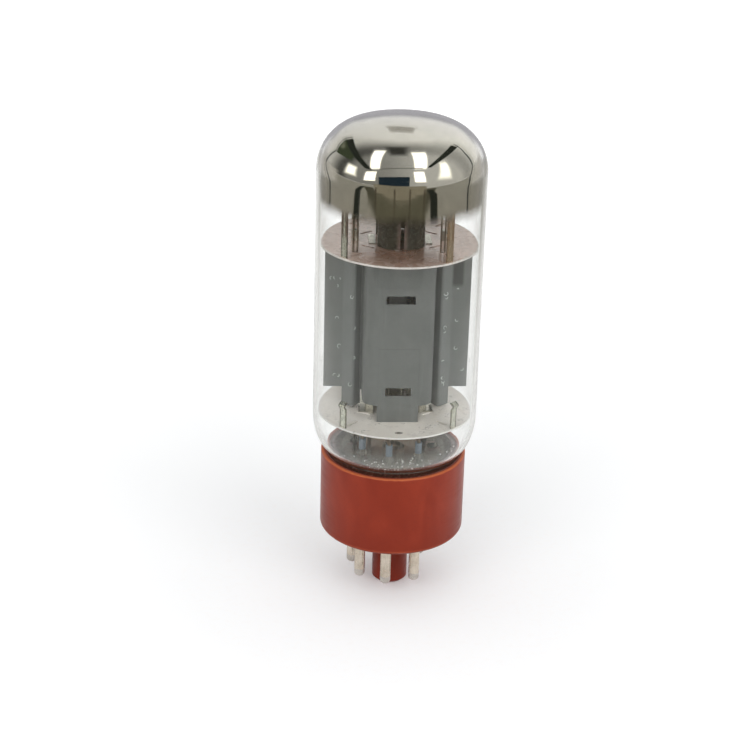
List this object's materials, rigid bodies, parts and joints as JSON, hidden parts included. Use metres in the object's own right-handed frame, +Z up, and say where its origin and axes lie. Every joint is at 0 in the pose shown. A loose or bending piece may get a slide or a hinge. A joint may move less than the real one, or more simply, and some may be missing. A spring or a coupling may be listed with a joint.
{
  "type": "vacuum tube",
  "caption": "Glass beam power vacuum tube: mirrored domed bulb, grey winged anode between mica discs, red-brown octal base with locating spigot and contact pins.",
  "frame": {"origin": "centre of the locating spigot's tip, on the tube's axis", "axes": "+Z up the tube's axis to the dome; +X along the anode's right wing; -Y is the front, which an anode face looks towards"},
  "size_m": [0.0362, 0.0362, 0.109],
  "materials": {
    "base_phenolic": "satin moulded phenolic, red-brown",
    "pin_nickel": "nickel-plated brass",
    "solder": "dull bright solder",
    "cement": "dark brown cement, grainy",
    "bulb_glass": "clear polished glass",
    "stem_glass": "clear pressed glass, slightly grey",
    "getter_film": "silvery-brown mirror film",
    "mica": "translucent mica, finely scratched",
    "anode_grey": "matte dark grey coating",
    "electrode_nickel": "bright nickel sheet and rod",
    "spring_nickel": "nickel strip, slightly greenish",
    "grid_wire": "fine grey wire",
    "cathode_oxide": "white sprayed oxide",
    "heater_coating": "white insulating coat",
    "radiator_black": "blackened nickel, semi-gloss",
    "lead_wire": "nickel and copper-clad wire",
    "sleeve_ceramic": "pale blue glass-ceramic sleeve",
    "getter_residue": "spent getter metal"
  },
  "bodies": {
    "root": {"anode_front_half": "anode_grey", "anode_rear_half": "anode_grey", "anode_rod_left": "electrode_nickel", "anode_rod_right": "electrode_nickel", "base_cement": "cement", "base_shell": "base_phenolic", "beam_plate_left": "electrode_nickel", "beam_plate_right": "electrode_nickel", "cathode_coating": "cathode_oxide", "cathode_sleeve": "electrode_nickel", "cathode_strap": "electrode_nickel", "contact_pin_1": "pin_nickel", "contact_pin_2": "pin_nickel", "contact_pin_3": "pin_nickel", "contact_pin_4": "pin_nickel", "contact_pin_5": "pin_nickel", "contact_pin_7": "pin_nickel", "contact_pin_8": "pin_nickel", "control_grid_post_left": "electrode_nickel", "control_grid_post_right": "electrode_nickel", "control_grid_winding": "grid_wire", "getter_charge_left": "getter_residue", "getter_charge_right": "getter_residue", "getter_mirror": "getter_film", "getter_ring_left": "electrode_nickel", "getter_ring_right": "electrode_nickel", "getter_stay_left": "lead_wire", "getter_stay_right": "lead_wire", "glass_bulb": "bulb_glass", "glass_stem": "stem_glass", "grid_radiator_left": "radiator_black", "grid_radiator_right": "radiator_black", "heater": "heater_coating", "lead_anode": "lead_wire", "lead_cathode": "lead_wire", "lead_control_grid": "lead_wire", "lead_heater_a": "lead_wire", "lead_heater_b": "lead_wire", "lead_screen_grid": "lead_wire", "lead_sleeves": "sleeve_ceramic", "lead_unused": "lead_wire", "lower_mica": "mica", "lower_spring_front_left": "spring_nickel", "lower_spring_front_right": "spring_nickel", "lower_spring_rear_left": "spring_nickel", "lower_spring_rear_right": "spring_nickel", "pin_solder": "solder", "screen_grid_post_left": "electrode_nickel", "screen_grid_post_right": "electrode_nickel", "screen_grid_winding": "grid_wire", "upper_mica": "mica", "upper_spring_front_left": "spring_nickel", "upper_spring_front_right": "spring_nickel", "upper_spring_rear_left": "spring_nickel", "upper_spring_rear_right": "spring_nickel"}
  },
  "joints": []
}
